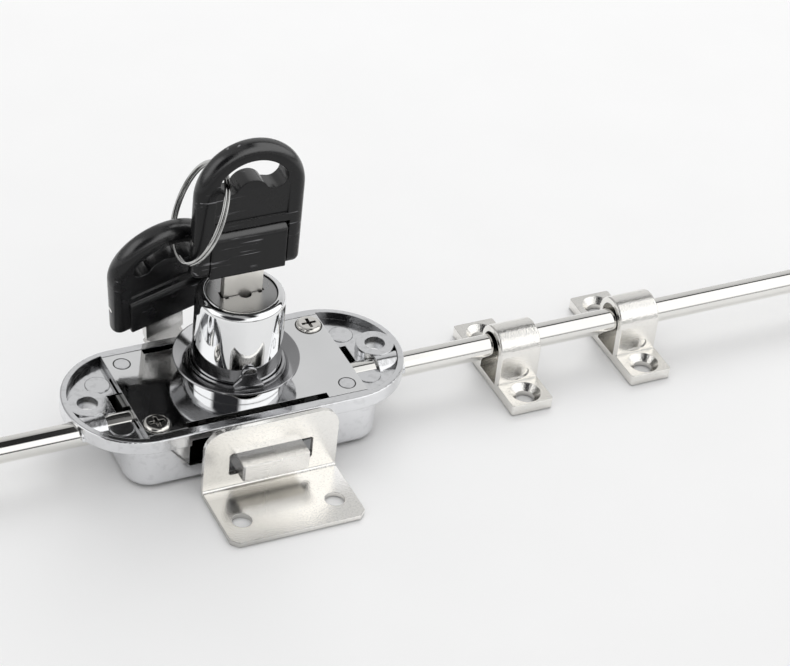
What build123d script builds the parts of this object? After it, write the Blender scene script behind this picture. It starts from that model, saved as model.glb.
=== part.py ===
"""Three-way rod cabinet lock: cylinder lock with a centre deadbolt and two locking rods.

Millimetres. X runs along the rods, Y away from the strike plate, Z up the cylinder.
The origin is on the underside of the case, under the axis of the cylinder.
"""
from build123d import *
from math import atan2, cos, degrees, pi, radians, sin, sqrt
import os

os.makedirs("parts", exist_ok=True)

# Clearances
RUN_GAP = 0.05          # radial, turning and sliding fits
SLIDE_GAP = 0.3         # beside a sliding piece
LIFT_GAP = 0.1          # under and over a sliding piece

# Case, a zinc casting
CASE_HEIGHT = 14.7
FLANGE_LENGTH = 84.4
FLANGE_WIDTH = 35.0
FLANGE_THICKNESS = 3.5
RIM_WIDTH = 1.5
POCKET_DEPTH = 2.0
BOX_LENGTH = 63.6
BOX_DRAFT = 1.5
BOX_CORNER = 6.5
BOX_EDGE = 2.6
END_WALL = 1.4
SIDE_WALL = 1.6
FLOOR = 1.6
FIXING_SPACING = 72.8
FIXING_HOLE = 4.9
FIXING_Y = 0.4
BOSS_RADIUS = 4.6
WINDOW_WIDTH = 35.0
WINDOW_SILL = 5.0
WINDOW_TOP_BAR = 1.9
END_OPENING_HALF = 3.9
EJECTOR_X = 31.1
EJECTOR_Y = 8.1
EJECTOR_RADIUS = 2.9
EJECTOR_HEIGHT = 0.2
POST_X = 17.8
POST_Y = 9.5
LEDGE_WIDTH = 1.3
TUNNEL_WALL = 0.85
TUNNEL_START = 34.2
TUNNEL_LENGTH = 6.5

# Cover plate
COVER_LENGTH = 55.0
COVER_WIDTH = 30.0
COVER_THICKNESS = 1.5
COVER_GAP = 0.2
NOTCH_LENGTH = 35.0
NOTCH_DEPTH = 1.7
PIN_X = 23.8
PIN_Y = 11.5
PIN_RADIUS = 1.85
PIN_GAP = 0.1
SCREW_X = 24.0
SCREW_Y = 11.6
SCREW_HEAD = 3.1
SCREW_HEAD_HEIGHT = 1.5
SCREW_RECESS = 0.7
SCREW_SHANK = 1.2
SCREW_LENGTH = 7.0
CROSS_LENGTH = 3.6
CROSS_WIDTH = 0.8
CROSS_DEPTH = 0.9

# Cylinder
BARREL_RADIUS = 10.55
BARREL_TOP = 39.1
BARREL_EDGE = 1.7
COLLAR_RADIUS = 11.6
COLLAR_HEIGHT = 3.5
SPIGOT_RADIUS = 8.0
SPIGOT_GAP = 0.02
PLUG_HEAD_RADIUS = 8.5
PLUG_HEAD_DEPTH = 2.0
PLUG_RECESS = 0.25
PLUG_RADIUS = 7.4
PLUG_BOTTOM = 17.3
WEB = 1.8
NECK_RADIUS = 5.0
CLIP_RADIUS = 6.2
CLIP_THICKNESS = 0.65
CLIP_DEPTH = 0.75
TAIL_SQUARE = 5.0

# Wafers and their springs
WAFER_COUNT = 5
WAFER_PITCH = 3.0
WAFER_TOP = 35.2
WAFER_THICKNESS = 0.8
WAFER_LENGTH = 12.6
WAFER_WIDTH = 7.0
WAFER_TRAVEL = 0.8
SPRING_RADIUS = 0.45
SPRING_WIRE = 0.2
SPRING_TURNS = 4
SPRING_LENGTH = 2.2
SPRING_POCKET = 5.2
TAB_PLACE = 0.4
TAB_WIDTH = 0.6

# Drive: one pinion, three racks
MODULE = 1.0
TEETH = 12
PRESSURE = 20.0
RACK_ADDENDUM = 0.7
PINION_ADDENDUM = 0.8
ROOT_GAP = 0.3
BACKLASH = 0.3
PINION_BOTTOM = 5.6
PINION_TOP = 12.5
JOURNAL_RADIUS = 2.9
JOURNAL_DEPTH = 2.6
KEY_TURN = 90.0

# Deadbolt
BOLT_WIDTH = 16.6
BOLT_BOTTOM = 5.34
BOLT_HEIGHT = 4.23
BOLT_TIP = 26.7
BOLT_TAIL = 6.0

# Rods and their carriers
ROD_DIAMETER = 6.0
ROD_Y = -4.67
ROD_Z = 10.67
ROD_END = 168.0
ROD_END_CHAMFER = 0.6
TENON_DIAMETER = 3.0
CARRIER_OUTER = 27.2
CARRIER_LENGTH = 4.8
CARRIER_BOTTOM = 7.3
CARRIER_TOP = 12.95
CARRIER_HALF_WIDTH = 3.15
BAR_BOTTOM = 10.0
BAR_TOP = 12.4
BAR_BACK = 9.2
BAR_TIP = 2.7
ARM_LENGTH = 3.0
TAB_REACH = 1.2
TAB_LENGTH = 4.6
CARRIER_PIN = 1.5

# Pressed trim ring round the barrel
RING_SHEET = 0.6
RING_GAP = 0.25
RING_LIP_RADIUS = 14.9
RING_LIP_RISE = 2.4
RING_TROUGH = 11.9
RING_INNER_RISE = 1.7
TONGUE_WIDTH = 3.6
TONGUE_FOOT = 7.0
TONGUE_SHOULDER = 4.0
TONGUE_RISE = 6.9
TONGUE_AZIMUTH = -97.0

# Strike plate, a bent sheet
STRIKE_FRONT = -23.12
STRIKE_SHEET = 1.2
STRIKE_WIDTH = 33.4
STRIKE_HEIGHT = 18.3
STRIKE_REACH = 18.7
STRIKE_CORNER = 5.0
STRIKE_CHAMFER = 1.7
STRIKE_BEND = 0.8
STRIKE_SLOT_WIDTH = 20.8
STRIKE_SLOT_BOTTOM = 4.9
STRIKE_SLOT_HEIGHT = 6.2
STRIKE_HOLE = 4.7
STRIKE_HOLE_SPACING = 23.2
STRIKE_HOLE_FROM_FRONT = 11.5

# Saddle guides on the right rod: where each starts, and its arch centre beside the rod
GUIDE_PLACES = {"guide_inner": (65.45, -0.6), "guide_outer": (99.0, 0.6)}
GUIDE_WIDTH = 10.9
GUIDE_FRONT = 14.1
GUIDE_BACK = 19.3
GUIDE_FOOT = 2.75
GUIDE_STRIP = 1.9
GUIDE_ARCH = 5.4
GUIDE_OPENING = 3.9
GUIDE_FRONT_HOLE = 9.8
GUIDE_BACK_HOLE = 14.6
GUIDE_HOLE = 4.6
GUIDE_SINK = 7.6
GUIDE_CORNER = 0.6
GUIDE_ROUNDING = 0.5
GUIDE_DIMPLE_DEPTH = 0.3

# Folding keys, in the key's own frame: X across the bow, Y its thickness, Z up from the holder
KEY_SEAT = 46.2
BOW_HALF = 13.3
BOW_CENTRE = 21.1
BOW_THICKNESS = 5.2
BOW_ROUNDING = 2.5
BOW_LEG_END = -0.3
BOW_LEG_INNER = 9.5
HOLE_LEFT = (-7.6, 27.0)
HOLE_TOP = (0, 30.6)
HOLE_RIGHT = (7.8, 26.5)
HOLE_RIGHT_BEND = (7.6, 23.4)
HOLE_RIGHT_FOOT = (5.2, 22.4)
HUMP_RIGHT = (3.4, 22.8)
HUMP_TOP = (-0.2, 25.3)
HUMP_LEFT = (-4.1, 22.7)
HOLE_LEFT_BEND = (-7.8, 23.8)
HOLDER_HALF = 9.3
HOLDER_THICKNESS = 5.8
HOLDER_HEIGHT = 12.3
HOLDER_GAP = 0.3
PANEL_HALF = 8.9
PANEL_HEIGHT = 8.6
PANEL_DEPTH = 0.45
PANEL_LIP = 2.0
KEY_PIN = 1.6
PIN_SET_IN = 0.04
BLADE_WIDTH = 9.6
BLADE_THICKNESS = 2.0
BLADE_LENGTH = 27.0
BLADE_IN_HOLDER = 7.5
BLADE_SHANK = 8.5
BLADE_TIP = 2.1
GROOVE_WIDTH = 2.0
GROOVE_DEPTH = 0.6
BIT_DEPTHS = (0.9, 1.6, 0.6, 1.2, 0.9)
KEYWAY_LENGTH = 10.6
KEYWAY_WIDTH = 2.3
KEYWAY_BULGE = 1.5
KEYWAY_BULGE_X = 0.5

# Second key, hanging behind the case, and the split ring through both keys
SPARE_PLACE = (-12.51, 15.87, 25.51)
SPARE_ACROSS = (0.972, 0.065, 0.225)
SPARE_UP = (-0.192, -0.329, 0.925)
KEY_RING_CENTRE = (-9.9, 3.8, 60.5)
KEY_RING_NORMAL = (-0.896, 0.151, 0.418)
KEY_RING_RADIUS = 11.9
KEY_RING_WIRE = 0.75
KEY_RING_GAP = 0.06
KEY_RING_TURNS = 1.94

# Worked out from the sizes above
half_flange = FLANGE_WIDTH / 2
pocket_floor = CASE_HEIGHT - POCKET_DEPTH
flange_under = CASE_HEIGHT - FLANGE_THICKNESS
cover_under = CASE_HEIGHT - COVER_THICKNESS
box_half = BOX_LENGTH / 2
box_half_width = half_flange - 0.2
inner_half = box_half - END_WALL
inner_half_width = box_half_width - SIDE_WALL
recess_half = COVER_LENGTH / 2 + COVER_GAP
recess_half_width = COVER_WIDTH / 2 + COVER_GAP
rod_radius = ROD_DIAMETER / 2
rod_bore = rod_radius + RUN_GAP
pitch_radius = MODULE * TEETH / 2
rack_pitch = pi * MODULE
drive_travel = pitch_radius * radians(KEY_TURN)
pinion_tip = pitch_radius + PINION_ADDENDUM
pinion_root = pitch_radius - RACK_ADDENDUM - ROOT_GAP
rack_root = PINION_ADDENDUM + ROOT_GAP
bolt_half = BOLT_WIDTH / 2
bolt_top = BOLT_BOTTOM + BOLT_HEIGHT
bolt_floor = BOLT_BOTTOM - LIFT_GAP
bar_reach = pitch_radius - RACK_ADDENDUM
plug_face = BARREL_TOP - PLUG_RECESS
head_seat = BARREL_TOP - PLUG_HEAD_DEPTH
web_bottom = PLUG_BOTTOM - RUN_GAP - WEB
neck_bore = NECK_RADIUS + RUN_GAP
collar_top = CASE_HEIGHT + COLLAR_HEIGHT
key_pin_height = HOLDER_HEIGHT - HOLDER_THICKNESS / 2
panel_bottom = HOLDER_HEIGHT + HOLDER_GAP


def mirrored(x, y):
    """The same place at both ends of the case, turned half round the cylinder."""
    return [(x, y), (-x, -y)]


def both_ends(x, y):
    """The same place left and right of the cylinder."""
    return [(x, y), (-x, y)]


def rack_space():
    """Outline of one gap between rack teeth, open towards the pinion, pitch line on X."""
    half_gap = (rack_pitch + BACKLASH) / 4
    slope = sin(radians(PRESSURE)) / cos(radians(PRESSURE))
    mouth = RACK_ADDENDUM + ROOT_GAP
    return [
        (-half_gap - mouth * slope, -mouth),
        (half_gap + mouth * slope, -mouth),
        (half_gap - rack_root * slope, rack_root),
        (-half_gap + rack_root * slope, rack_root),
    ]


# Lock case
with BuildPart() as case:
    with BuildSketch(Plane.XY.offset(flange_under)):
        SlotOverall(FLANGE_LENGTH, FLANGE_WIDTH)
    extrude(amount=FLANGE_THICKNESS)
    with BuildSketch(Plane.XY.offset(flange_under)):
        RectangleRounded(BOX_LENGTH, 2 * box_half_width, BOX_CORNER)
    extrude(amount=-flange_under, taper=BOX_DRAFT)
    fillet(case.faces().sort_by(Axis.Z)[0].edges(), BOX_EDGE)
    fillet(case.faces().sort_by(Axis.Z)[-1].outer_wire().edges(), 0.4)
    # Cover recess and end pockets in the top
    with BuildSketch(Plane.XY.offset(cover_under)):
        Rectangle(2 * recess_half, 2 * recess_half_width)
    extrude(amount=COVER_THICKNESS, mode=Mode.SUBTRACT)
    with BuildSketch(Plane.XY.offset(pocket_floor)):
        SlotOverall(FLANGE_LENGTH - 2 * RIM_WIDTH, FLANGE_WIDTH - 2 * RIM_WIDTH)
        Rectangle(2 * recess_half - 0.5, FLANGE_WIDTH, mode=Mode.SUBTRACT)
        with Locations(*both_ends(FIXING_SPACING / 2, FIXING_Y)):
            Circle(BOSS_RADIUS, mode=Mode.SUBTRACT)
    extrude(amount=POCKET_DEPTH, mode=Mode.SUBTRACT)
    with BuildSketch(Plane.XY.offset(pocket_floor)):
        with Locations((EJECTOR_X, EJECTOR_Y), (EJECTOR_X, -EJECTOR_Y),
                       (-EJECTOR_X, EJECTOR_Y), (-EJECTOR_X, -EJECTOR_Y)):
            Circle(EJECTOR_RADIUS)
    extrude(amount=EJECTOR_HEIGHT)
    # Half-round tunnels over the rods
    for side in (1, -1):
        with BuildSketch(Plane.YZ.offset(side * TUNNEL_START)):
            with Locations((ROD_Y, ROD_Z)):
                Circle(rod_bore + TUNNEL_WALL)
            with Locations((ROD_Y, flange_under / 2)):
                Rectangle(4 * rod_bore, flange_under, mode=Mode.SUBTRACT)
        extrude(amount=side * TUNNEL_LENGTH)
    # Room inside: channel for the rods and carriers, channel for the bolt
    with BuildSketch(Plane.XY.offset(FLOOR)):
        Rectangle(2 * inner_half, 2 * (POST_Y - LEDGE_WIDTH))
        Rectangle(2 * (bolt_half + 1.3), FLANGE_WIDTH, mode=Mode.SUBTRACT)
    extrude(amount=BAR_BOTTOM - LIFT_GAP - FLOOR, mode=Mode.SUBTRACT)
    with BuildSketch(Plane.XY.offset(bolt_floor)):
        Rectangle(2 * (bolt_half + SLIDE_GAP), 2 * inner_half_width)
    extrude(amount=cover_under - bolt_floor, mode=Mode.SUBTRACT)
    for side in (1, -1):
        with BuildSketch(Plane.XY.offset(FLOOR)):
            with Locations((0, side * (POST_Y + inner_half_width) / 2)):
                Rectangle(2 * POST_X, inner_half_width - POST_Y)
                Rectangle(2 * (bolt_half + 1.3), inner_half_width, mode=Mode.SUBTRACT)
        extrude(amount=cover_under - FLOOR, mode=Mode.SUBTRACT)
    with BuildSketch(Plane.XY.offset(BAR_BOTTOM - LIFT_GAP)):
        Rectangle(2 * inner_half, 2 * POST_Y)
    extrude(amount=flange_under - BAR_BOTTOM + LIFT_GAP, mode=Mode.SUBTRACT)
    with BuildSketch(Plane.XY.offset(BAR_BOTTOM - LIFT_GAP)):
        Rectangle(2 * recess_half, 2 * POST_Y)
        Rectangle(2 * POST_X, 2 * inner_half_width)
    extrude(amount=cover_under - BAR_BOTTOM + LIFT_GAP, mode=Mode.SUBTRACT)
    # Openings in the pocket floor beside the cover
    with BuildSketch(Plane.XY.offset(flange_under - 0.1)):
        with Locations(*mirrored((recess_half + inner_half - 0.6) / 2, 0)):
            Rectangle(inner_half - recess_half + 0.6, 2 * END_OPENING_HALF)
    extrude(amount=CASE_HEIGHT, mode=Mode.SUBTRACT)
    # Bores for the rods
    for side in (1, -1):
        with BuildSketch(Plane.YZ.offset(side * (inner_half - 3.3))):
            with Locations((ROD_Y, ROD_Z)):
                Circle(rod_bore)
        extrude(amount=side * FLANGE_LENGTH / 2, mode=Mode.SUBTRACT)
    # Window for the bolt, and the sloped flat beside it
    with BuildSketch(Plane.XZ.offset(inner_half_width - 1)):
        with Locations((0, (WINDOW_SILL + CASE_HEIGHT - WINDOW_TOP_BAR) / 2)):
            Rectangle(WINDOW_WIDTH, CASE_HEIGHT - WINDOW_TOP_BAR - WINDOW_SILL)
    extrude(amount=FLANGE_WIDTH, mode=Mode.SUBTRACT)
    with BuildSketch(Plane.XZ.offset(box_half_width - 0.9)):
        Polygon((-WINDOW_WIDTH / 2, WINDOW_SILL), (-WINDOW_WIDTH / 2, flange_under),
                (-WINDOW_WIDTH / 2 - 5.3, flange_under), align=None)
    extrude(amount=2, mode=Mode.SUBTRACT)
    # Journal of the pinion, fixing holes, threads of the cover screws
    with BuildSketch(Plane.XY.offset(JOURNAL_DEPTH - LIFT_GAP)):
        Circle(JOURNAL_RADIUS + RUN_GAP)
    extrude(amount=bolt_floor, mode=Mode.SUBTRACT)
    with Locations((0, 0, CASE_HEIGHT)):
        with Locations(*both_ends(FIXING_SPACING / 2, FIXING_Y)):
            Hole(FIXING_HOLE / 2)
    with BuildSketch(Plane.XY.offset(cover_under)):
        with Locations(*mirrored(SCREW_X, SCREW_Y)):
            Circle(SCREW_SHANK + RUN_GAP)
    extrude(amount=-SCREW_LENGTH, mode=Mode.SUBTRACT)
    # Pins that place the cover
    with BuildSketch(Plane.XY.offset(cover_under)):
        with Locations(*mirrored(PIN_X, -PIN_Y)):
            Circle(PIN_RADIUS)
    extrude(amount=COVER_THICKNESS)
case.part.label = "lock_case"

# Cover plate
with BuildPart() as cover:
    with BuildSketch(Plane.XY.offset(cover_under)):
        Rectangle(COVER_LENGTH, COVER_WIDTH)
        with Locations((0, COVER_WIDTH / 2), (0, -COVER_WIDTH / 2)):
            Rectangle(NOTCH_LENGTH, 2 * NOTCH_DEPTH, mode=Mode.SUBTRACT)
        Circle(SPIGOT_RADIUS + SPIGOT_GAP, mode=Mode.SUBTRACT)
        with Locations(*mirrored(PIN_X, -PIN_Y)):
            Circle(PIN_RADIUS + PIN_GAP, mode=Mode.SUBTRACT)
        with Locations(*mirrored(SCREW_X, SCREW_Y)):
            Circle(SCREW_SHANK + 0.15, mode=Mode.SUBTRACT)
    extrude(amount=COVER_THICKNESS)
    with BuildSketch(Plane.XY.offset(CASE_HEIGHT - SCREW_RECESS)):
        with Locations(*mirrored(SCREW_X, SCREW_Y)):
            Circle(SCREW_HEAD + 0.2)
    extrude(amount=SCREW_RECESS, mode=Mode.SUBTRACT)
    # Grooves underneath for the retracted rods
    for side in (1, -1):
        with BuildSketch(Plane.YZ.offset(side * (CARRIER_OUTER - drive_travel - 1))):
            with Locations((ROD_Y, ROD_Z)):
                Circle(rod_bore + LIFT_GAP)
        extrude(amount=side * COVER_LENGTH / 2, mode=Mode.SUBTRACT)
cover.part.label = "cover_plate"

# Cover screws: rounded heads with a cross recess
with BuildPart() as cover_screws:
    head_bottom = CASE_HEIGHT - SCREW_RECESS
    with BuildSketch(Plane.XY.offset(head_bottom)):
        with Locations(*mirrored(SCREW_X, SCREW_Y)):
            Circle(SCREW_HEAD)
    extrude(amount=SCREW_HEAD_HEIGHT)
    fillet(cover_screws.edges().group_by(Axis.Z)[-1], SCREW_HEAD_HEIGHT * 0.55)
    with BuildSketch(Plane.XY.offset(head_bottom + SCREW_HEAD_HEIGHT)):
        with Locations(*mirrored(SCREW_X, SCREW_Y)):
            Rectangle(CROSS_LENGTH, CROSS_WIDTH)
            Rectangle(CROSS_WIDTH, CROSS_LENGTH)
    extrude(amount=-CROSS_DEPTH, mode=Mode.SUBTRACT)
    with BuildSketch(Plane.XY.offset(head_bottom)):
        with Locations(*mirrored(SCREW_X, SCREW_Y)):
            Circle(SCREW_SHANK)
    extrude(amount=-SCREW_LENGTH)
cover_screws.part.label = "cover_screws"

# Cylinder housing
with BuildPart() as housing:
    with BuildSketch(Plane.XZ):
        Polygon((0, cover_under), (SPIGOT_RADIUS, cover_under), (SPIGOT_RADIUS, CASE_HEIGHT),
                (COLLAR_RADIUS, CASE_HEIGHT), (COLLAR_RADIUS, collar_top),
                (BARREL_RADIUS, collar_top), (BARREL_RADIUS, BARREL_TOP), (0, BARREL_TOP), align=None)
    revolve(axis=Axis.Z)
    fillet(housing.edges().filter_by(GeomType.CIRCLE).sort_by(Axis.Z)[-1], BARREL_EDGE)
    with BuildSketch(Plane.XZ):
        Polygon((0, cover_under - 1), (CLIP_RADIUS + 0.4, cover_under - 1),
                (CLIP_RADIUS + 0.4, web_bottom), (neck_bore, web_bottom),
                (neck_bore, PLUG_BOTTOM - RUN_GAP), (PLUG_RADIUS + RUN_GAP, PLUG_BOTTOM - RUN_GAP),
                (PLUG_RADIUS + RUN_GAP, head_seat - RUN_GAP),
                (PLUG_HEAD_RADIUS + RUN_GAP, head_seat - RUN_GAP),
                (PLUG_HEAD_RADIUS + RUN_GAP, BARREL_TOP + 1), (0, BARREL_TOP + 1), align=None)
    revolve(axis=Axis.Z, mode=Mode.SUBTRACT)
    # Grooves that the wafers spring into with the key out, a quarter turn apart
    wafer_out = WAFER_LENGTH / 2 + WAFER_TRAVEL + 0.15
    wafer_stack = (WAFER_COUNT - 1) * WAFER_PITCH + 2 * WAFER_THICKNESS
    with BuildSketch(Plane.XY.offset(WAFER_TOP + WAFER_THICKNESS)):
        Rectangle(2 * wafer_out, WAFER_WIDTH + 0.4)
        Rectangle(WAFER_WIDTH + 0.4, 2 * wafer_out)
    extrude(amount=-wafer_stack, mode=Mode.SUBTRACT)
housing.part.label = "cylinder_housing"

# Plug with its keyway and wafer slots
with BuildPart() as plug:
    clip_top = web_bottom - LIFT_GAP
    with BuildSketch(Plane.XZ):
        Polygon((0, PINION_TOP), (NECK_RADIUS, PINION_TOP), (NECK_RADIUS, clip_top - CLIP_THICKNESS),
                (NECK_RADIUS - CLIP_DEPTH, clip_top - CLIP_THICKNESS),
                (NECK_RADIUS - CLIP_DEPTH, clip_top), (NECK_RADIUS, clip_top),
                (NECK_RADIUS, PLUG_BOTTOM), (PLUG_RADIUS, PLUG_BOTTOM), (PLUG_RADIUS, head_seat),
                (PLUG_HEAD_RADIUS, head_seat), (PLUG_HEAD_RADIUS, plug_face), (0, plug_face), align=None)
    revolve(axis=Axis.Z)
    fillet(plug.edges().filter_by(GeomType.CIRCLE).sort_by(Axis.Z)[-1], 0.5)
    with BuildSketch(Plane.XY.offset(PINION_TOP)):
        Rectangle(TAIL_SQUARE, TAIL_SQUARE)
    extrude(amount=-(PINION_TOP - PINION_BOTTOM - 0.8))
    # Keyway with a rib on each side of the blade's groove
    with BuildSketch(Plane.XY.offset(plug_face)):
        Rectangle(KEYWAY_LENGTH, KEYWAY_WIDTH)
        with Locations((0, KEYWAY_WIDTH / 2)):
            Rectangle(GROOVE_WIDTH - 0.4, 2 * (GROOVE_DEPTH - 0.15), mode=Mode.SUBTRACT)
        with Locations((KEYWAY_BULGE_X, -KEYWAY_WIDTH / 2)):
            Circle(KEYWAY_BULGE)
        with Locations((KEYWAY_LENGTH / 2 - 1.2, -KEYWAY_WIDTH / 2), (1.2 - KEYWAY_LENGTH / 2, -KEYWAY_WIDTH / 2)):
            Rectangle(0.9, 1.1)
    extrude(amount=-(BLADE_LENGTH + plug_face - KEY_SEAT + 0.5), mode=Mode.SUBTRACT)
    for index in range(WAFER_COUNT):
        slot_top = WAFER_TOP - index * WAFER_PITCH + RUN_GAP
        with BuildSketch(Plane.XY.offset(slot_top)):
            Rectangle(4 * PLUG_RADIUS, WAFER_WIDTH + 2 * RUN_GAP)
        extrude(amount=-(WAFER_THICKNESS + 2 * RUN_GAP), mode=Mode.SUBTRACT)
        side = 1 if index % 2 == 0 else -1
        with BuildSketch(Plane.XY.offset(slot_top)):
            with Locations((0, side * (WAFER_WIDTH / 2 + 0.65))):
                Rectangle(SPRING_POCKET, 1.5)
        extrude(amount=-(WAFER_THICKNESS + 2 * RUN_GAP), mode=Mode.SUBTRACT)
plug.part.label = "cylinder_plug"

# Wafers, every second one facing the other way, each with its spring beside it
wafer_window = BLADE_WIDTH / 2 + WAFER_TRAVEL + 0.1
for index in range(WAFER_COUNT):
    side = 1 if index % 2 == 0 else -1
    wafer_bottom = WAFER_TOP - index * WAFER_PITCH - WAFER_THICKNESS
    with BuildPart() as wafer:
        with BuildSketch(Plane.XY.offset(wafer_bottom)):
            RectangleRounded(WAFER_LENGTH, WAFER_WIDTH, 0.6)
            Rectangle(2 * wafer_window, BLADE_THICKNESS + 0.4, mode=Mode.SUBTRACT)
            with Locations((side * TAB_PLACE, side * (WAFER_WIDTH / 2 + 0.5))):
                Rectangle(TAB_WIDTH, 1.2)
        extrude(amount=WAFER_THICKNESS)
    wafer.part.label = f"wafer_{index + 1}"
    export_step(wafer.part, f"parts/wafer_{index + 1}.step")

# Coil springs beside the tabs of the wafers
with BuildPart() as wafer_springs:
    coil_radius = SPRING_RADIUS - SPRING_WIRE / 2
    for index in range(WAFER_COUNT):
        side = 1 if index % 2 == 0 else -1
        height = WAFER_TOP - index * WAFER_PITCH - WAFER_THICKNESS / 2
        far_end = side * (TAB_PLACE - TAB_WIDTH / 2 - RUN_GAP - SPRING_WIRE / 2)
        coil_start = Vector(far_end - side * (SPRING_LENGTH - SPRING_WIRE), side * (WAFER_WIDTH / 2 + 0.65), height)
        with BuildLine() as spring_line:
            Helix((SPRING_LENGTH - SPRING_WIRE) / SPRING_TURNS, SPRING_LENGTH - SPRING_WIRE, coil_radius,
                  center=coil_start, direction=(side, 0, 0))
        with BuildSketch(Plane(origin=spring_line.line @ 0, z_dir=spring_line.line % 0)):
            Circle(SPRING_WIRE / 2)
        sweep(path=spring_line.line)
wafer_springs.part.label = "wafer_springs"

# Clip that keeps the plug in the housing
with BuildPart() as clip:
    with BuildSketch(Plane.XY.offset(clip_top - CLIP_THICKNESS + 0.03)):
        Circle(CLIP_RADIUS)
        Circle(NECK_RADIUS - CLIP_DEPTH + 0.03, mode=Mode.SUBTRACT)
        with Locations((0, CLIP_RADIUS)):
            Rectangle(NECK_RADIUS, 2 * CLIP_RADIUS, mode=Mode.SUBTRACT)
    extrude(amount=CLIP_THICKNESS - 0.06)
clip.part.label = "plug_clip"

# Drive pinion with involute teeth
base_radius = pitch_radius * cos(radians(PRESSURE))
pitch_involute = sin(radians(PRESSURE)) / cos(radians(PRESSURE)) - radians(PRESSURE)
half_tooth_angle = (rack_pitch / 2 - BACKLASH / 2) / (2 * pitch_radius)


def flank(radius, hand):
    """Point of a tooth flank at a radius, for the tooth centred on the X axis."""
    if radius > base_radius:
        pressure = sqrt((radius / base_radius) ** 2 - 1)
        rolled = pressure - atan2(pressure, 1)
    else:
        rolled = 0
    angle = hand * (half_tooth_angle + pitch_involute - rolled)
    return Vector(radius * cos(angle), radius * sin(angle))


with BuildPart() as pinion:
    with BuildSketch(Plane.XY.offset(PINION_BOTTOM)):
        Circle(pinion_root)
        with BuildSketch(mode=Mode.PRIVATE) as tooth:
            flank_radii = [base_radius + (pinion_tip - base_radius) * step / 3 for step in range(4)]
            with BuildLine():
                Line(flank(pinion_root - 0.3, -1), flank(base_radius, -1))
                Spline(*[flank(radius, -1) for radius in flank_radii])
                ThreePointArc(flank(pinion_tip, -1), (pinion_tip, 0), flank(pinion_tip, 1))
                Spline(*[flank(radius, 1) for radius in reversed(flank_radii)])
                Line(flank(base_radius, 1), flank(pinion_root - 0.3, 1))
                Line(flank(pinion_root - 0.3, 1), flank(pinion_root - 0.3, -1))
            make_face()
        with PolarLocations(0, TEETH):
            add(tooth.sketch)
    extrude(amount=PINION_TOP - PINION_BOTTOM)
    with BuildSketch(Plane.XY.offset(PINION_BOTTOM)):
        Circle(JOURNAL_RADIUS)
    extrude(amount=-(PINION_BOTTOM - JOURNAL_DEPTH))
    with BuildSketch(Plane.XY.offset(PINION_TOP)):
        Rectangle(TAIL_SQUARE + RUN_GAP, TAIL_SQUARE + RUN_GAP)
    extrude(amount=-(PINION_TOP - PINION_BOTTOM - 0.6), mode=Mode.SUBTRACT)
pinion.part.label = "drive_pinion"

# Deadbolt: a fork with a rack on its left arm
with BuildPart() as bolt:
    with BuildSketch(Plane.XY.offset(BOLT_BOTTOM)):
        with Locations((0, (BOLT_TAIL - BOLT_TIP) / 2)):
            Rectangle(BOLT_WIDTH, BOLT_TIP + BOLT_TAIL)
        fork_front = -(pinion_tip + drive_travel + SLIDE_GAP)
        with Locations(((pinion_tip + SLIDE_GAP - bar_reach) / 2, (fork_front + BOLT_TAIL + 1) / 2)):
            Rectangle(pinion_tip + SLIDE_GAP + bar_reach, BOLT_TAIL + 1 - fork_front, mode=Mode.SUBTRACT)
        for gap in range(-4, 2):
            with Locations(Location((-pitch_radius, gap * rack_pitch), 90)):
                Polygon(*rack_space(), align=None, mode=Mode.SUBTRACT)
    extrude(amount=BOLT_HEIGHT)
    chamfer(bolt.edges().filter_by(Axis.Z).group_by(Axis.Y)[0], 0.4)
bolt.part.label = "deadbolt"


def carrier(side):
    """Rack carrier of one rod: -1 is the left one, whose rack lies behind the pinion."""
    outer = side * CARRIER_OUTER
    inner = side * (CARRIER_OUTER - CARRIER_LENGTH)
    with BuildPart() as body:
        with BuildSketch(Plane.XY.offset(CARRIER_BOTTOM)):
            with Locations(((outer + inner) / 2, ROD_Y)):
                Rectangle(CARRIER_LENGTH, 2 * CARRIER_HALF_WIDTH)
        extrude(amount=CARRIER_TOP - CARRIER_BOTTOM)
        # Upright tab that shows in the opening beside the cover
        tab_y = ROD_Y + CARRIER_HALF_WIDTH
        with BuildSketch(Plane.XY.offset(CARRIER_BOTTOM)):
            with Locations((outer + side * (TAB_REACH - ARM_LENGTH) / 2, tab_y + TAB_LENGTH / 2)):
                Rectangle(TAB_REACH + ARM_LENGTH, TAB_LENGTH)
        extrude(amount=CARRIER_TOP - CARRIER_BOTTOM)
        # Rack bar, and on the left an arm across to it
        bar_y = -side * (bar_reach + BAR_BACK) / 2
        bar_tip = -side * BAR_TIP
        with BuildSketch(Plane.XY.offset(BAR_BOTTOM)):
            with Locations(((outer + bar_tip) / 2, bar_y)):
                Rectangle(abs(outer - bar_tip), BAR_BACK - bar_reach)
            if side < 0:
                with Locations((outer + ARM_LENGTH / 2, (ROD_Y + BAR_BACK) / 2)):
                    Rectangle(ARM_LENGTH, BAR_BACK - ROD_Y)
            for gap in range(-1, 5):
                turn = 0 if side < 0 else 180
                with Locations(Location((side * gap * rack_pitch, -side * pitch_radius), turn)):
                    Polygon(*rack_space(), align=None, mode=Mode.SUBTRACT)
        extrude(amount=BAR_TOP - BAR_BOTTOM)
        # Socket of the rod and the hole of its pin
        with BuildSketch(Plane.YZ.offset(outer)):
            with Locations((ROD_Y, ROD_Z)):
                Circle(TENON_DIAMETER / 2 + 0.03)
        extrude(amount=-side * (CARRIER_LENGTH + 0.1), mode=Mode.SUBTRACT)
        with BuildSketch(Plane.XY.offset(CARRIER_BOTTOM)):
            with Locations(((outer + inner) / 2, ROD_Y)):
                Circle(CARRIER_PIN / 2 + 0.02)
        extrude(amount=CARRIER_TOP, mode=Mode.SUBTRACT)
    return body.part


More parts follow.
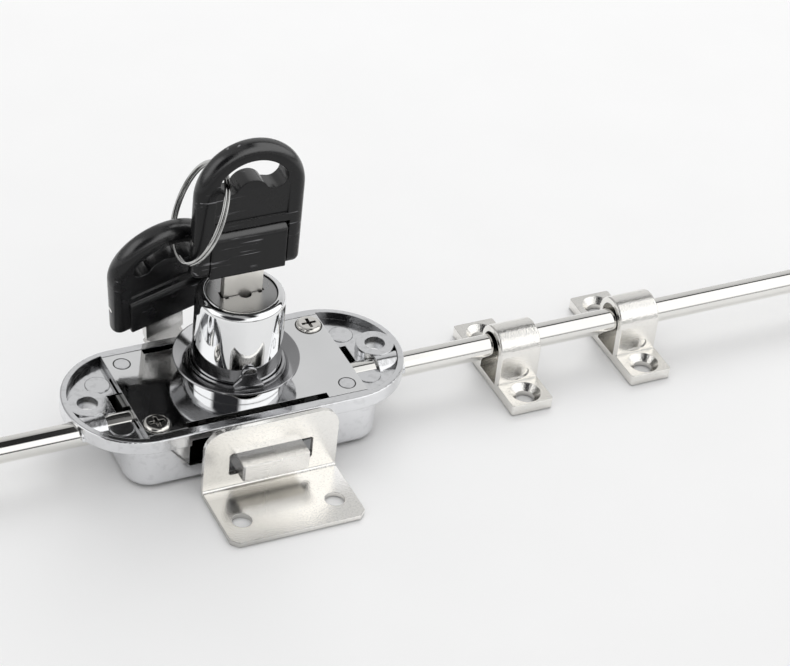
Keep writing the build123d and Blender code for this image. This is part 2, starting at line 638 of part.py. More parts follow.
def rod(side):
    """Round locking rod with a tenon for its carrier."""
    with BuildPart() as body:
        with BuildSketch(Plane.YZ.offset(side * (CARRIER_OUTER + 0.1))):
            with Locations((ROD_Y, ROD_Z)):
                Circle(rod_radius)
        extrude(amount=side * (ROD_END - CARRIER_OUTER - 0.1))
        chamfer(body.edges().filter_by(GeomType.CIRCLE).sort_by(Axis.X)[-1 if side > 0 else 0],
                ROD_END_CHAMFER)
        with BuildSketch(Plane.YZ.offset(side * (CARRIER_OUTER + 0.1))):
            with Locations((ROD_Y, ROD_Z)):
                Circle(TENON_DIAMETER / 2)
        extrude(amount=-side * CARRIER_LENGTH)
        with BuildSketch(Plane.XY.offset(CARRIER_BOTTOM)):
            with Locations((side * (CARRIER_OUTER - CARRIER_LENGTH / 2), ROD_Y)):
                Circle(CARRIER_PIN / 2 + 0.02)
        extrude(amount=CARRIER_TOP, mode=Mode.SUBTRACT)
    return body.part


def carrier_pin(side):
    """Pin down through a carrier and the tenon of its rod."""
    with BuildPart() as body:
        with BuildSketch(Plane.XY.offset(CARRIER_BOTTOM)):
            with Locations((side * (CARRIER_OUTER - CARRIER_LENGTH / 2), ROD_Y)):
                Circle(CARRIER_PIN / 2)
        extrude(amount=CARRIER_TOP - CARRIER_BOTTOM)
    return body.part


for name, side in (("left", -1), ("right", 1)):
    for piece, shape in (("rod_carrier", carrier(side)), ("rod", rod(side)), ("carrier_pin", carrier_pin(side))):
        shape.label = f"{name}_{piece}"
        export_step(shape, f"parts/{name}_{piece}.step")

# Trim ring: a pressed dish with an upright inner lip and one turned-up tongue
with BuildPart() as ring:
    inner = BARREL_RADIUS + RING_GAP
    ring_base = collar_top
    with BuildSketch(Plane.XZ):
        with BuildLine():
            Polyline((inner, ring_base), (RING_TROUGH, ring_base),
                     (RING_LIP_RADIUS, ring_base + RING_LIP_RISE - RING_SHEET),
                     (RING_LIP_RADIUS, ring_base + RING_LIP_RISE),
                     (RING_TROUGH - 0.2, ring_base + RING_SHEET),
                     (inner + RING_SHEET, ring_base + RING_SHEET),
                     (inner + RING_SHEET, ring_base + RING_INNER_RISE),
                     (inner, ring_base + RING_INNER_RISE), (inner, ring_base))
        make_face()
    revolve(axis=Axis.Z)
    tongue_face = Plane.XY.offset(ring_base).rotated((0, 0, TONGUE_AZIMUTH))
    with BuildSketch(Plane(origin=(0, 0, ring_base), x_dir=tongue_face.y_dir, z_dir=tongue_face.x_dir)):
        tongue_straight = TONGUE_RISE - TONGUE_WIDTH / 2
        with Locations((0, tongue_straight / 2)):
            Rectangle(TONGUE_WIDTH, tongue_straight)
        with Locations((0, tongue_straight)):
            Circle(TONGUE_WIDTH / 2)
        Polygon((-TONGUE_FOOT / 2, 0), (TONGUE_FOOT / 2, 0), (TONGUE_FOOT / 2, RING_INNER_RISE),
                (TONGUE_WIDTH / 2, TONGUE_SHOULDER), (-TONGUE_WIDTH / 2, TONGUE_SHOULDER),
                (-TONGUE_FOOT / 2, RING_INNER_RISE), align=None)
    extrude(amount=inner + RING_SHEET)
    with BuildSketch(Plane.XY.offset(ring_base)):
        Circle(inner)
    extrude(amount=TONGUE_RISE + 1, mode=Mode.SUBTRACT)
    with BuildSketch(Plane.XY.offset(ring_base + RING_INNER_RISE)):
        Circle(COLLAR_RADIUS + 2)
        Circle(inner + RING_SHEET, mode=Mode.SUBTRACT)
    extrude(amount=TONGUE_RISE, mode=Mode.SUBTRACT)
ring.part.label = "trim_ring"

# Strike plate
with BuildPart() as strike:
    with BuildSketch(Plane.YZ.offset(-STRIKE_WIDTH / 2)):
        with BuildLine():
            FilletPolyline((STRIKE_FRONT - STRIKE_REACH, STRIKE_SHEET), (STRIKE_FRONT, STRIKE_SHEET),
                           (STRIKE_FRONT, STRIKE_HEIGHT), radius=STRIKE_BEND)
            Line((STRIKE_FRONT, STRIKE_HEIGHT), (STRIKE_FRONT + STRIKE_SHEET, STRIKE_HEIGHT))
            FilletPolyline((STRIKE_FRONT + STRIKE_SHEET, STRIKE_HEIGHT), (STRIKE_FRONT + STRIKE_SHEET, 0),
                           (STRIKE_FRONT - STRIKE_REACH, 0), radius=STRIKE_BEND + STRIKE_SHEET)
            Line((STRIKE_FRONT - STRIKE_REACH, 0), (STRIKE_FRONT - STRIKE_REACH, STRIKE_SHEET))
        make_face()
    extrude(amount=STRIKE_WIDTH)
    top_corners = strike.edges().filter_by(Axis.Y).group_by(Axis.Z)[-1]
    fillet(top_corners, STRIKE_CORNER)
    foot_corners = strike.edges().filter_by(Axis.Z).group_by(Axis.Y)[0]
    chamfer(foot_corners, STRIKE_CHAMFER)
    with BuildSketch(Plane.XZ.offset(-STRIKE_FRONT + 1)):
        with Locations((0, STRIKE_SLOT_BOTTOM + STRIKE_SLOT_HEIGHT / 2)):
            RectangleRounded(STRIKE_SLOT_WIDTH, STRIKE_SLOT_HEIGHT, 0.7)
    extrude(amount=-2 * STRIKE_SHEET - 1, mode=Mode.SUBTRACT)
    with BuildSketch(Plane.XY):
        with Locations((STRIKE_HOLE_SPACING / 2, STRIKE_FRONT - STRIKE_HOLE_FROM_FRONT),
                       (-STRIKE_HOLE_SPACING / 2, STRIKE_FRONT - STRIKE_HOLE_FROM_FRONT)):
            Circle(STRIKE_HOLE / 2)
    extrude(amount=STRIKE_SHEET, mode=Mode.SUBTRACT)
strike.part.label = "strike_plate"

# Saddle guides, castings with an arched opening over a flat strip
for name, (start, shift) in GUIDE_PLACES.items():
    centre = ROD_Y + shift
    middle = start + GUIDE_WIDTH / 2
    with BuildPart() as guide:
        with BuildSketch(Plane.YZ.offset(start)):
            with Locations((centre + (GUIDE_BACK - GUIDE_FRONT) / 2, GUIDE_FOOT / 2)):
                Rectangle(GUIDE_BACK + GUIDE_FRONT, GUIDE_FOOT)
            with Locations((centre, ROD_Z / 2)):
                Rectangle(2 * GUIDE_ARCH, ROD_Z)
            with Locations((centre, ROD_Z)):
                Circle(GUIDE_ARCH)
        extrude(amount=GUIDE_WIDTH)
        ends = guide.edges().filter_by(Axis.Z).group_by(Axis.Y)
        fillet(ends[0] + ends[-1], GUIDE_CORNER)
        top_edges = guide.edges().filter_by(GeomType.CIRCLE).filter_by(lambda edge: edge.radius > 5)
        fillet(top_edges, GUIDE_ROUNDING)
        with BuildSketch(Plane.YZ.offset(start)):
            with Locations((centre, (ROD_Z + GUIDE_STRIP) / 2)):
                Rectangle(2 * GUIDE_OPENING, ROD_Z - GUIDE_STRIP)
            with Locations((centre, ROD_Z)):
                Circle(GUIDE_OPENING)
        extrude(amount=GUIDE_WIDTH, mode=Mode.SUBTRACT)
        with Locations((middle, centre - GUIDE_FRONT_HOLE, GUIDE_FOOT),
                       (middle, centre + GUIDE_BACK_HOLE, GUIDE_FOOT)):
            CounterSinkHole(GUIDE_HOLE / 2, GUIDE_SINK / 2, counter_sink_angle=90)
        # Oval dimple low on the front leg
        with BuildSketch(Plane.XZ.offset(-centre + GUIDE_ARCH)):
            with Locations((middle, GUIDE_FOOT + 2.3)):
                SlotOverall(5.6, 2.6)
        extrude(amount=-GUIDE_DIMPLE_DEPTH, mode=Mode.SUBTRACT)
    guide.part.label = name
    export_step(guide.part, f"parts/{name}.step")

# Key bow: an arch with two legs beside the holder and one hole for the ring
with BuildPart() as bow:
    with BuildSketch(Plane.XZ):
        with BuildLine():
            Polyline((-BOW_HALF, BOW_CENTRE), (-BOW_HALF, BOW_LEG_END),
                     (BOW_HALF, BOW_LEG_END), (BOW_HALF, BOW_CENTRE))
            ThreePointArc((BOW_HALF, BOW_CENTRE), (0, BOW_CENTRE + BOW_HALF), (-BOW_HALF, BOW_CENTRE))
        make_face()
    extrude(amount=BOW_THICKNESS / 2, both=True)
    fillet(bow.edges().filter_by(Axis.Y).group_by(Axis.Z)[0], 1.6)
    fillet(bow.faces().sort_by(Axis.Y)[0].edges() + bow.faces().sort_by(Axis.Y)[-1].edges(), BOW_ROUNDING)
    with BuildSketch(Plane.XZ):
        with Locations((0, (panel_bottom + BOW_LEG_END - 1) / 2)):
            Rectangle(2 * BOW_LEG_INNER, panel_bottom - BOW_LEG_END + 1)
        with BuildLine():
            ThreePointArc(HOLE_LEFT, HOLE_TOP, HOLE_RIGHT)
            ThreePointArc(HOLE_RIGHT, HOLE_RIGHT_BEND, HOLE_RIGHT_FOOT)
            Line(HOLE_RIGHT_FOOT, HUMP_RIGHT)
            ThreePointArc(HUMP_RIGHT, HUMP_TOP, HUMP_LEFT)
            ThreePointArc(HUMP_LEFT, HOLE_LEFT_BEND, HOLE_LEFT)
        make_face()
    extrude(amount=BOW_THICKNESS, both=True, mode=Mode.SUBTRACT)
    # Panel sunk front and back, deepest at its lower edge
    with BuildSketch(Plane.YZ.offset(-PANEL_HALF)):
        panel_low = panel_bottom + PANEL_LIP
        for side in (1, -1):
            Polygon((side * BOW_THICKNESS, panel_low), (side * (BOW_THICKNESS / 2 - PANEL_DEPTH), panel_low),
                    (side * BOW_THICKNESS / 2, panel_low + PANEL_HEIGHT),
                    (side * BOW_THICKNESS, panel_low + PANEL_HEIGHT), align=None)
    extrude(amount=2 * PANEL_HALF, mode=Mode.SUBTRACT)
    with BuildSketch(Plane.YZ.offset(-BOW_HALF)):
        with Locations((0, key_pin_height)):
            Circle(KEY_PIN / 2 + 0.02)
    extrude(amount=2 * BOW_HALF, mode=Mode.SUBTRACT)

# Holder of the blade, with the knuckle the bow turns on
with BuildPart() as holder:
    with BuildSketch(Plane.YZ.offset(-HOLDER_HALF)):
        with Locations((0, key_pin_height / 2)):
            Rectangle(HOLDER_THICKNESS, key_pin_height)
        with Locations((0, key_pin_height)):
            Circle(HOLDER_THICKNESS / 2)
            Circle(KEY_PIN / 2 + RUN_GAP, mode=Mode.SUBTRACT)
    extrude(amount=2 * HOLDER_HALF)
    fillet(holder.edges().filter_by(Axis.Z), 0.5)
    with BuildSketch(Plane.XY):
        Rectangle(BLADE_WIDTH + 0.04, BLADE_THICKNESS + 0.04)
    extrude(amount=BLADE_IN_HOLDER, mode=Mode.SUBTRACT)

# Blade, cut on both edges, with a groove down each face
with BuildPart() as blade:
    with BuildSketch(Plane.XZ):
        bit_pitch = WAFER_PITCH
        first_bit = WAFER_TOP - WAFER_THICKNESS / 2 - KEY_SEAT
        left_edge = [(-BLADE_WIDTH / 2, BLADE_IN_HOLDER - 0.05)]
        right_edge = [(BLADE_WIDTH / 2, BLADE_IN_HOLDER - 0.05)]
        for index, depth in enumerate(BIT_DEPTHS):
            height = first_bit - index * bit_pitch
            other = BIT_DEPTHS[-1 - index]
            for edge, hand, cut in ((left_edge, -1, depth), (right_edge, 1, other)):
                edge.append((hand * BLADE_WIDTH / 2, height + 1.3))
                edge.append((hand * (BLADE_WIDTH / 2 - cut), height + 0.5))
                edge.append((hand * (BLADE_WIDTH / 2 - cut), height - 0.5))
                edge.append((hand * BLADE_WIDTH / 2, height - 1.3))
        left_edge.append((-BLADE_WIDTH / 2, -BLADE_LENGTH + BLADE_TIP))
        right_edge.append((BLADE_WIDTH / 2, -BLADE_LENGTH + BLADE_TIP))
        left_edge.append((-BLADE_WIDTH / 2 + BLADE_TIP, -BLADE_LENGTH))
        right_edge.append((BLADE_WIDTH / 2 - BLADE_TIP, -BLADE_LENGTH))
        Polygon(*(left_edge + right_edge[::-1]), align=None)
    extrude(amount=BLADE_THICKNESS / 2, both=True)
    with BuildSketch(Plane.XY.offset(-BLADE_LENGTH)):
        with Locations((0, BLADE_THICKNESS / 2)):
            Rectangle(GROOVE_WIDTH, 2 * GROOVE_DEPTH)
    extrude(amount=BLADE_LENGTH - 1, mode=Mode.SUBTRACT)

# Pin through both legs of the bow and the knuckle of the holder
with BuildPart() as hinge_pin:
    with BuildSketch(Plane.YZ.offset(-BOW_HALF + PIN_SET_IN)):
        with Locations((0, key_pin_height)):
            Circle(KEY_PIN / 2)
    extrude(amount=2 * (BOW_HALF - PIN_SET_IN))

spare_frame = Plane(origin=SPARE_PLACE, x_dir=SPARE_ACROSS, z_dir=SPARE_UP)
for prefix, place in (("key", Location((0, 0, KEY_SEAT))), ("spare_key", spare_frame.location)):
    for piece, shape in (("bow", bow.part), ("blade_holder", holder.part), ("blade", blade.part),
                         ("hinge_pin", hinge_pin.part)):
        placed = shape.moved(place)
        placed.label = f"{prefix}_{piece}"
        export_step(placed, f"parts/{prefix}_{piece}.step")

# Split ring through both bows, nearly two turns of wire
with BuildPart() as key_ring:
    ring_height = KEY_RING_TURNS * (KEY_RING_WIRE + KEY_RING_GAP)
    ring_axis = Vector(*KEY_RING_NORMAL).normalized()
    with BuildLine() as coil:
        Helix(KEY_RING_WIRE + KEY_RING_GAP, ring_height, KEY_RING_RADIUS,
              center=Vector(*KEY_RING_CENTRE) - ring_axis * (ring_height / 2), direction=ring_axis)
    with BuildSketch(Plane(origin=coil.line @ 0, z_dir=coil.line % 0)):
        Circle(KEY_RING_WIRE / 2)
    sweep()
key_ring.part.label = "key_ring"

for name, shape in (("lock_case", case), ("cover_plate", cover), ("cover_screws", cover_screws),
                    ("cylinder_housing", housing), ("cylinder_plug", plug), ("plug_clip", clip),
                    ("drive_pinion", pinion), ("deadbolt", bolt), ("trim_ring", ring),
                    ("strike_plate", strike), ("key_ring", key_ring), ("wafer_springs", wafer_springs)):
    export_step(shape.part, f"parts/{name}.step")
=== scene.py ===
"""Looks of the three-way rod cabinet lock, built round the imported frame. Metres."""
import math

import bpy
from mathutils import Matrix, Vector

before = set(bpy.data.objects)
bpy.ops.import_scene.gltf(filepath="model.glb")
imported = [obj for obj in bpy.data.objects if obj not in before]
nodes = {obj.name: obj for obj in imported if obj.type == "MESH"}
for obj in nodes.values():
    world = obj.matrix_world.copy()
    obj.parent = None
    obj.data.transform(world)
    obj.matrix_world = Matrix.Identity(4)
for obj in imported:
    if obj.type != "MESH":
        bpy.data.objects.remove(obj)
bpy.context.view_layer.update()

# The photograph's camera. Lens and sensor are in millimetres.
CAMERA_PLACE = (-0.2290, -0.4844, 0.4417)
CAMERA_RIGHT = (0.90250, -0.41996, 0.09554)
CAMERA_DOWN = (-0.18914, -0.58575, -0.78811)
LENS = 133.13
SENSOR_WIDTH = 36.0
CLIP_START = 0.01
CLIP_END = 50.0

# What polished metal mirrors: pairs of height in degrees (0 behind, 90 overhead, 180 in front) and
# level of grey. LEFT_END holds at the left end of the studio, and each strip sets in between two
# places along X, to the right of the one before.
HALF_TURN = 180.0
LEFT_END = ((0, 0.30), (40, 0.45), (58, 0.95), (125, 0.95), (150, 0.5), (180, 0.25))
STRIPS = (
    (-0.64, -0.52, ((0, 0.35), (30, 0.32), (38, 0.30), (118, 0.28), (130, 0.9), (165, 0.9),
                    (180, 0.3))),
    (0.08, 0.17, ((0, 0.60), (30, 0.56), (42, 0.53), (52, 0.42), (63, 0.40), (66, 0.02),
                  (117, 0.02), (123, 1.0), (165, 1.0), (172, 0.10), (180, 0.05))),
    (0.28, 0.40, ((0, 0.60), (30, 0.56), (42, 0.53), (52, 0.46), (59, 0.50), (62, 0.02),
                  (72, 0.02), (75, 1.0), (166, 1.0), (174, 0.4), (180, 0.3))),
)
STUDIO_LEVEL = 1.25
# The dark part of the studio, towards the camera: its direction, the cosines at which it sets in
# and is full, and its colour
DARK_SIDE = (-0.521, -0.600, 0.608)
DARK_START = 0.87
DARK_FULL = 0.93
DARK_COLOUR = (0.02, 0.02, 0.022)

# The light from all round, and the background that the camera sees
LIGHT_COLOUR = (1.0, 1.0, 1.0)
LIGHT_LEVEL = 0.75
SEEN_COLOUR = (0.93, 0.93, 0.93)
SEEN_LEVEL = 1.0
# Each lamp's name, place, width and power in watts
LAMPS = (("lamp_back", (0.55, 0.75, 1.0), 0.9, 6.0),
         ("lamp_front", (-0.9, -0.5, 0.9), 1.2, 1.5))

# The floor: half its width, how far it lies under the lock, and its paper
FLOOR_REACH = 3.0
FLOOR_DROP = 0.0002
PAPER_DARK = (0.912, 0.912, 0.912)
PAPER_LIGHT = (0.925, 0.925, 0.925)
PAPER_ROUGHNESS = 0.7
PAPER_SHEEN = 0.1
# The table ends this far from the lock, and the room past it is dark, which only the metal shows
TABLE_REACH = 0.55
TABLE_FADE = 0.06
ROOM_COLOUR = (0.05, 0.05, 0.052)

# Most of a noise's values lie between these two
NOISE_LOW = 0.3
NOISE_HIGH = 0.7
# How a grain is stretched: not at all, or drawn out along X or Z
EVEN = (1.0, 1.0, 1.0)
ALONG_X = (0.08, 1.0, 1.0)
ALONG_Z = (1.0, 1.0, 0.15)
# How finely gaps and rounded edges are sampled
GAP_SAMPLES = 8
EDGE_SAMPLES = 6

CHROME = (0.90, 0.905, 0.91)
NICKEL = (0.93, 0.915, 0.88)
# Patches in a plating: noise cycles a metre, how much rougher and smoother they are, and the share
# of the colour left in the darker ones
PATCH_SCALE = 60.0
PATCH_SPREAD = 0.25
PATCH_SHARE = 0.94
# Pits: the noise values at which they start and are full, and the share of the colour left there
PIT_START = 0.54
PIT_FULL = 0.66
PIT_SHARE = 0.2
METAL_GRAIN_DEPTH = 0.0004

# Places in the metal where shade is painted into the colour, and on the strike's foot a dark
# reflection. A box is its lowest and highest corner, the width in which it fades along each axis,
# and the share of the colour that is left. A bore is its axis in X and Y, two radii, two heights,
# and that share. It fades in BORE_FOOT below its lower end, and in CRISP at its other ends.
CRISP = 0.00004
BORE_FOOT = 0.0008
# Painted shade inside the hollow of the case
CASE_HOLLOW = ((-0.0262, -0.0158, 0.0012), (0.0262, 0.0158, 0.0138), (0.0004, 0.0004, 0.0004), 0.02)
# Painted shade on the wall of the cover's front notch
COVER_NOTCH = ((-0.0177, -0.0160, 0.0125), (0.0177, -0.01329, 0.0150), (CRISP, CRISP, CRISP), 0.02)
# Painted dark reflection on the strike's foot
STRIKE_FOOT = (
    ((-0.0200, -0.0450, -0.001), (-0.0110, -0.0262, 0.00125), (0.014, 0.004, 0.0002), 0.62),
    ((-0.0075, -0.0320, -0.001), (0.0050, -0.0270, 0.00125), (0.003, 0.003, 0.0002), 0.62),
)
# Painted shade in the case's two fixing holes
FIXING_HOLES = tuple(((x, 0.0004), 0.0, 0.00247, 0.0132, 0.0146, 0.12) for x in (-0.0364, 0.0364))
# Painted shade on the rim's inner wall at the case's two ends
RIM_ENDS = tuple(((x, 0.0), 0.0158, 0.01604, 0.01276, 0.01464, 0.22) for x in (-0.0247, 0.0247))
# Painted shade in the recesses round the cover screws
SCREW_GAPS = tuple((centre, 0.00190, 0.00212, 0.0130, 0.0150, 0.10)
                   for centre in ((0.0238, -0.0115), (-0.0238, 0.0115)))

# The keys' plastic: how far up a face looks (Z of its normal), how strongly it shines there, its
# roughness, its colours, and its grain
PLASTIC_IOR = 1.9
FACE_UP = (0.15, 0.45)
FACE_SHINE = (0.12, 0.50)
PLASTIC_ROUGHNESS = (0.20, 0.29)
PLASTIC_BLACK = (0.005, 0.005, 0.0055)
SCUFF_GREY = (0.26, 0.26, 0.27)
SCUFF_STRETCH = (0.06, 1.0, 1.6)
PLASTIC_GRAIN = 0.08
PLASTIC_GRAIN_DEPTH = 0.0003
PLASTIC_EDGE = 0.0004


def add_camera():
    """Camera at the photograph's viewing angle."""
    data = bpy.data.cameras.new("camera")
    data.sensor_width = SENSOR_WIDTH
    data.sensor_fit = "HORIZONTAL"
    data.lens = LENS
    data.clip_start = CLIP_START
    data.clip_end = CLIP_END
    camera = bpy.data.objects.new("camera", data)
    right = Vector(CAMERA_RIGHT).normalized()
    up = -Vector(CAMERA_DOWN)
    up = (up - right * up.dot(right)).normalized()
    back = right.cross(up)
    turn = Matrix((right, up, back)).transposed().to_4x4()
    camera.matrix_world = Matrix.Translation(CAMERA_PLACE) @ turn
    bpy.context.scene.collection.objects.link(camera)
    bpy.context.scene.camera = camera


def new_material(name):
    """Material with nothing in it but a principled shader, which isn't shown yet."""
    material = bpy.data.materials.new(name)
    material.use_nodes = True
    tree = material.node_tree
    tree.nodes.clear()
    return material, tree, tree.nodes.new("ShaderNodeBsdfPrincipled")


def show(tree, surface, output="ShaderNodeOutputMaterial"):
    """Shows a shader on the surface, or on the world."""
    tree.links.new(surface, tree.nodes.new(output).inputs["Surface"])


def feed(tree, colour, socket):
    """Links a colour to a socket, or sets it there where it is plain."""
    if isinstance(colour, tuple):
        socket.default_value = (*colour, 1.0)
    else:
        tree.links.new(colour, socket)


def blend(tree, factor, under, over):
    """Mix of two colours by a value: under at 0, over at 1."""
    node = tree.nodes.new("ShaderNodeMix")
    node.data_type = "RGBA"
    tree.links.new(factor, node.inputs["Factor"])
    feed(tree, under, node.inputs["A"])
    feed(tree, over, node.inputs["B"])
    return node.outputs["Result"]


def mix_shaders(tree, factor, first, second):
    """Mix of two shaders by a value."""
    node = tree.nodes.new("ShaderNodeMixShader")
    for socket, source in zip(node.inputs, (factor, first, second)):
        tree.links.new(source, socket)
    return node.outputs["Shader"]


def combine(tree, operation, first, second):
    """Two values multiplied, or put together in another way."""
    node = tree.nodes.new("ShaderNodeMath")
    node.operation = operation
    tree.links.new(first, node.inputs[0])
    tree.links.new(second, node.inputs[1])
    return node.outputs["Value"]


def measure(tree, operation, vector, other):
    """Distance or dot product of a vector and a fixed one."""
    node = tree.nodes.new("ShaderNodeVectorMath")
    node.operation = operation
    tree.links.new(vector, node.inputs[0])
    node.inputs[1].default_value = other
    return node.outputs["Value"]


def split(tree, vector):
    """X, Y and Z of a vector."""
    node = tree.nodes.new("ShaderNodeSeparateXYZ")
    tree.links.new(vector, node.inputs["Vector"])
    return node.outputs


def own_place(tree):
    """Place in the object's own space."""
    return tree.nodes.new("ShaderNodeTexCoord").outputs["Object"]


def noise(tree, scale, detail, stretch=EVEN):
    """Noise over the object's own space, in cycles a metre."""
    spread = tree.nodes.new("ShaderNodeMapping")
    spread.inputs["Scale"].default_value = stretch
    tree.links.new(own_place(tree), spread.inputs["Vector"])
    texture = tree.nodes.new("ShaderNodeTexNoise")
    texture.inputs["Scale"].default_value = scale
    texture.inputs["Detail"].default_value = detail
    tree.links.new(spread.outputs["Vector"], texture.inputs["Vector"])
    return texture.outputs["Fac"]


def remap(tree, value, low, high, to_low=0.0, to_high=1.0):
    """Value stretched from one range to another, and kept inside it."""
    node = tree.nodes.new("ShaderNodeMapRange")
    node.inputs["From Min"].default_value = low
    node.inputs["From Max"].default_value = high
    node.inputs["To Min"].default_value = to_low
    node.inputs["To Max"].default_value = to_high
    tree.links.new(value, node.inputs["Value"])
    return node.outputs["Result"]


def between(tree, value, low, high, before, after):
    """1 between two values, going down to 0 in a width before them and a width after them."""
    return combine(tree, "MULTIPLY", remap(tree, value, low - before, low),
                   remap(tree, value, high, high + after, 1.0, 0.0))


def in_box(tree, lowest, highest, soft):
    """1 inside a box, going down to 0 in a width outside it, which is given along each axis."""
    parts = split(tree, own_place(tree))
    x, y, z = (between(tree, parts[axis], low, high, width, width)
               for axis, low, high, width in zip("XYZ", lowest, highest, soft))
    return combine(tree, "MULTIPLY", combine(tree, "MULTIPLY", x, y), z)


def in_bore(tree, axis_at, smallest, largest, low, high):
    """1 between two radii round an upright axis and between two heights, 0 elsewhere."""
    parts = split(tree, own_place(tree))
    flat = tree.nodes.new("ShaderNodeCombineXYZ")
    tree.links.new(parts["X"], flat.inputs["X"])
    tree.links.new(parts["Y"], flat.inputs["Y"])
    radius = measure(tree, "DISTANCE", flat.outputs["Vector"], (*axis_at, 0.0))
    return combine(tree, "MULTIPLY", between(tree, radius, smallest, largest, CRISP, CRISP),
                   between(tree, parts["Z"], low, high, BORE_FOOT, CRISP))


def crevices(tree, reach, low, high):
    """1 in the open, 0 deep in a gap or a recess."""
    shade = tree.nodes.new("ShaderNodeAmbientOcclusion")
    shade.samples = GAP_SAMPLES
    shade.inputs["Distance"].default_value = reach
    return remap(tree, shade.outputs["AO"], low, high)


def relief(tree, shader, height, strength, depth, edge):
    """Fine bumps, and edges rounded by a small radius where one is given."""
    bump = tree.nodes.new("ShaderNodeBump")
    bump.inputs["Strength"].default_value = strength
    bump.inputs["Distance"].default_value = depth
    tree.links.new(height, bump.inputs["Height"])
    if edge:
        soft = tree.nodes.new("ShaderNodeBevel")
        soft.samples = EDGE_SAMPLES
        soft.inputs["Radius"].default_value = edge
        tree.links.new(soft.outputs["Normal"], bump.inputs["Normal"])
    tree.links.new(bump.outputs["Normal"], shader.inputs["Normal"])


def shaded(colour, share):
    """A share of a colour."""
    return tuple(channel * share for channel in colour)


def metal(name, colour, roughness, grain=0.05, grain_scale=900.0, stretch=EVEN, edge=0.00025,
          gap_shade=0.12, reach=0.0016, low=0.12, high=0.62, pits=0.0, boxes=(), bores=()):
    """Plated metal: patchy roughness, fine grain, dark pits, painted shade in gaps and recesses,
    and edges that catch the light. The painted shade leaves its given share of the colour deep in a
    gap.
    It is all there where no more than low of the space within reach is open, and gone where high
    is.
    The boxes and bores paint more shade, and on the strike's foot a dark reflection."""
    material, tree, shader = new_material(name)
    shader.inputs["Metallic"].default_value = 1.0
    patches = noise(tree, PATCH_SCALE, detail=4.0)
    tree.links.new(remap(tree, patches, NOISE_LOW, NOISE_HIGH, roughness * (1 - PATCH_SPREAD),
                         roughness * (1 + PATCH_SPREAD)), shader.inputs["Roughness"])
    finish = blend(tree, remap(tree, patches, NOISE_LOW, NOISE_HIGH),
                   shaded(colour, PATCH_SHARE), colour)
    if pits:
        pitted = remap(tree, noise(tree, grain_scale, detail=2.0), PIT_START, PIT_FULL,
                       to_high=pits)
        finish = blend(tree, pitted, finish, shaded(colour, PIT_SHARE))
    # Painted shade: the colour darkens deep in gaps and recesses, where ambient occlusion finds
    # little open space
    finish = blend(tree, crevices(tree, reach, low, high), shaded(colour, gap_shade), finish)
    # Painted shade in the boxes and bores, and a painted dark reflection on the strike's foot
    masks = [(in_box(tree, *box), share) for *box, share in boxes]
    masks += [(in_bore(tree, *bore), share) for *bore, share in bores]
    for mask, share in masks:
        finish = blend(tree, mask, finish, shaded(colour, share))
    tree.links.new(finish, shader.inputs["Base Color"])
    relief(tree, shader, noise(tree, grain_scale, detail=4.0, stretch=stretch), grain,
           METAL_GRAIN_DEPTH, edge)
    show(tree, shader.outputs["BSDF"])
    return material


def plastic(name):
    """Black moulded plastic: a satin sheen, stronger on faces that look up, fine texture, dust
    specks and pale scuffs."""
    material, tree, shader = new_material(name)
    shader.inputs["IOR"].default_value = PLASTIC_IOR
    upward = split(tree, tree.nodes.new("ShaderNodeNewGeometry").outputs["Normal"])["Z"]
    tree.links.new(remap(tree, upward, *FACE_UP, *FACE_SHINE), shader.inputs["Specular IOR Level"])
    streaks = remap(tree, noise(tree, scale=900.0, detail=5.0, stretch=SCUFF_STRETCH),
                    low=0.63, high=0.69, to_high=0.9)
    worn = remap(tree, noise(tree, scale=90.0, detail=2.0), low=0.50, high=0.58)
    specks = remap(tree, noise(tree, scale=2600.0, detail=1.0), low=0.80, high=0.84, to_high=0.5)
    marks = combine(tree, "MAXIMUM", combine(tree, "MULTIPLY", streaks, worn), specks)
    tree.links.new(blend(tree, marks, PLASTIC_BLACK, SCUFF_GREY), shader.inputs["Base Color"])
    tree.links.new(remap(tree, noise(tree, scale=260.0, detail=4.0), NOISE_LOW, NOISE_HIGH,
                         *PLASTIC_ROUGHNESS), shader.inputs["Roughness"])
    relief(tree, shader, noise(tree, scale=1500.0, detail=3.0), PLASTIC_GRAIN,
           PLASTIC_GRAIN_DEPTH, PLASTIC_EDGE)
    show(tree, shader.outputs["BSDF"])
    return material


def dress(names, material):
    """Gives CAD nodes a finish."""
    for name in names:
        for slot in nodes[name].material_slots:
            slot.material = material


def ramp(tree, value, stops):
    """Grey levels along a value, by pairs of height and level. The first and the last pair stand
    at its two ends."""
    node = tree.nodes.new("ShaderNodeValToRGB")
    elements = node.color_ramp.elements
    for height, _ in stops[1:-1]:
        elements.new(height / HALF_TURN)
    for element, (_, level) in zip(elements, stops):
        element.color = (level, level, level, 1.0)
    tree.links.new(value, node.inputs["Fac"])
    return node.outputs["Color"]


def background(tree, colour, level):
    """One background of the world."""
    node = tree.nodes.new("ShaderNodeBackground")
    feed(tree, colour, node.inputs["Color"])
    node.inputs["Strength"].default_value = level
    return node.outputs["Background"]


